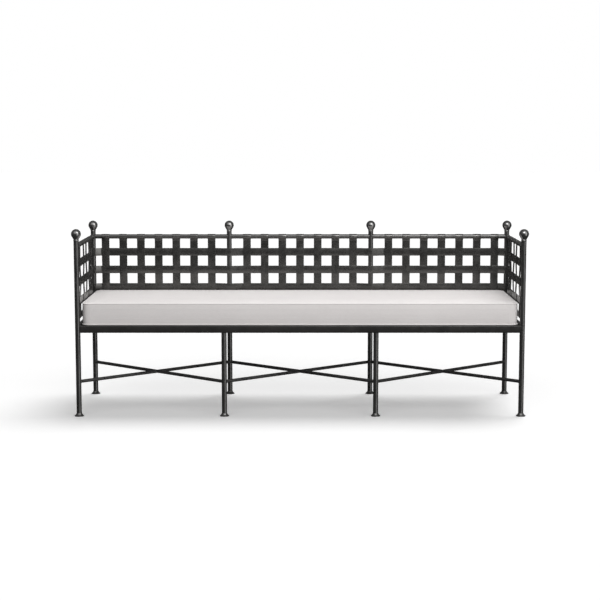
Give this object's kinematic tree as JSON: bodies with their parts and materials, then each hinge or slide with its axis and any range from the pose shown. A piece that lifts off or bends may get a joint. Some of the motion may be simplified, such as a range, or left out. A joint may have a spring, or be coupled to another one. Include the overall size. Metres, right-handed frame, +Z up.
{
  "type": "daybed",
  "caption": "Long metal daybed with ball-topped posts, woven strap lattice on the back and both arms, crossed rod stretchers and a loose box cushion.",
  "frame": {"origin": "on the floor, at the middle of the daybed's plan", "axes": "+X along the daybed, +Y towards its back, +Z up"},
  "size_m": [2.079, 0.6, 0.863],
  "materials": {
    "tube_paint": "satin",
    "strap_paint": "satin",
    "finial_paint": "satin",
    "foot_paint": "satin",
    "cushion_fabric": "matte",
    "welt_fabric": "matte",
    "foam": "matte"
  },
  "bodies": {
    "frame": {"post_front_left": "tube_paint", "post_front_mid_left": "tube_paint", "post_front_mid_right": "tube_paint", "post_front_right": "tube_paint", "post_back_left": "tube_paint", "post_back_mid_left": "tube_paint", "post_back_mid_right": "tube_paint", "post_back_right": "tube_paint", "foot_front_left": "foot_paint", "foot_front_mid_left": "foot_paint", "foot_front_mid_right": "foot_paint", "foot_front_right": "foot_paint", "foot_back_left": "foot_paint", "foot_back_mid_left": "foot_paint", "foot_back_mid_right": "foot_paint", "foot_back_right": "foot_paint", "finial_back_left": "finial_paint", "finial_back_mid_left": "finial_paint", "finial_back_mid_right": "finial_paint", "finial_back_right": "finial_paint", "finial_front_left": "finial_paint", "finial_front_right": "finial_paint", "top_rail_back_left": "tube_paint", "top_rail_back_middle": "tube_paint", "top_rail_back_right": "tube_paint", "top_rail_arm_left": "tube_paint", "top_rail_arm_right": "tube_paint", "low_rail_and_uprights_back_left": "strap_paint", "low_rail_and_uprights_back_middle": "strap_paint", "low_rail_and_uprights_back_right": "strap_paint", "low_rail_and_uprights_arm_left": "strap_paint", "low_rail_and_uprights_arm_right": "strap_paint", "woven_strap_back_1": "strap_paint", "woven_strap_back_2": "strap_paint", "woven_strap_back_3": "strap_paint", "woven_strap_arm_left_1": "strap_paint", "woven_strap_arm_left_2": "strap_paint", "woven_strap_arm_left_3": "strap_paint", "woven_strap_arm_right_1": "strap_paint", "woven_strap_arm_right_2": "strap_paint", "woven_strap_arm_right_3": "strap_paint", "seat_rail_front": "tube_paint", "seat_rail_left": "tube_paint", "seat_rail_right": "tube_paint", "seat_rail_back_left": "tube_paint", "seat_rail_back_middle": "tube_paint", "seat_rail_back_right": "tube_paint", "seat_deck_left": "strap_paint", "seat_deck_middle": "strap_paint", "seat_deck_right": "strap_paint", "stretcher_left_rising": "tube_paint", "stretcher_left_falling": "tube_paint", "stretcher_middle_rising": "tube_paint", "stretcher_middle_falling": "tube_paint", "stretcher_right_rising": "tube_paint", "stretcher_right_falling": "tube_paint"},
    "cushion": {"cushion_cover": "cushion_fabric", "cushion_foam": "foam", "cushion_welt_top": "welt_fabric", "cushion_welt_bottom": "welt_fabric"}
  },
  "joints": [
    {"name": "cushion_lift", "type": "slide", "parent": "frame", "child": "cushion", "axis": [0, 0, 1], "range_m": [0, 0.46]}
  ]
}
